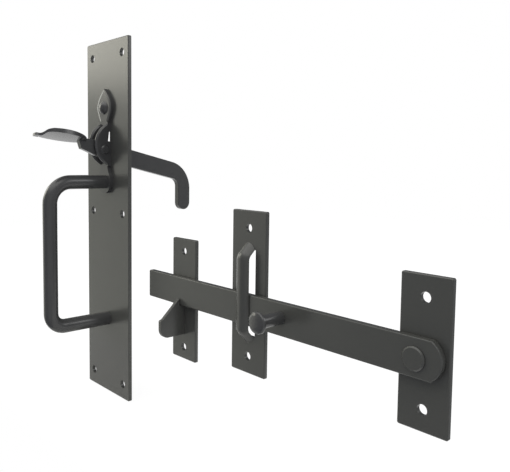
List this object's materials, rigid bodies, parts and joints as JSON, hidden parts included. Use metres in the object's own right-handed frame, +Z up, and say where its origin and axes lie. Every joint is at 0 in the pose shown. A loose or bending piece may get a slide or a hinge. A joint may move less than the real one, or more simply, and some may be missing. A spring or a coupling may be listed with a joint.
{
  "type": "suffolk gate latch",
  "caption": "Black suffolk gate latch set: pull handle plate with leaf cusp and thumb lever, and a pivoting latch bar with staple and catch.",
  "frame": {"origin": "middle of the handle plate's back, which is also the centre of its four corner screw holes", "axes": "+X along the gate from the handle to the bar's pivot, +Y into the gate, +Z up; every plate's back lies on Y = 0"},
  "size_m": [0.3382, 0.1475, 0.292],
  "materials": {
    "satin_black": "satin",
    "gloss_black": "semi-gloss"
  },
  "bodies": {
    "fixed": {"handle_plate": "satin_black", "pull_handle": "gloss_black", "thumb_cusp": "gloss_black", "cusp_rivet": "gloss_black", "lever_pin": "gloss_black", "pivot_plate": "satin_black", "pivot_washer": "satin_black", "pivot_rivet": "satin_black", "staple_plate": "satin_black", "catch_plate": "satin_black", "catch_hook": "satin_black"},
    "lever": {"thumb_lever": "gloss_black"},
    "bar": {"latch_bar": "satin_black", "bar_knob": "gloss_black"}
  },
  "joints": [
    {"name": "lever_press", "type": "hinge", "parent": "fixed", "child": "lever", "pos_m": [0, -0.0083, 0.0575], "axis": [1, 0, 0], "range_deg": [0, 20]},
    {"name": "bar_lift", "type": "hinge", "parent": "fixed", "child": "bar", "pos_m": [0.2892, -0.0048, -0.0425], "axis": [0, 1, 0], "range_deg": [0, 9.5]}
  ]
}
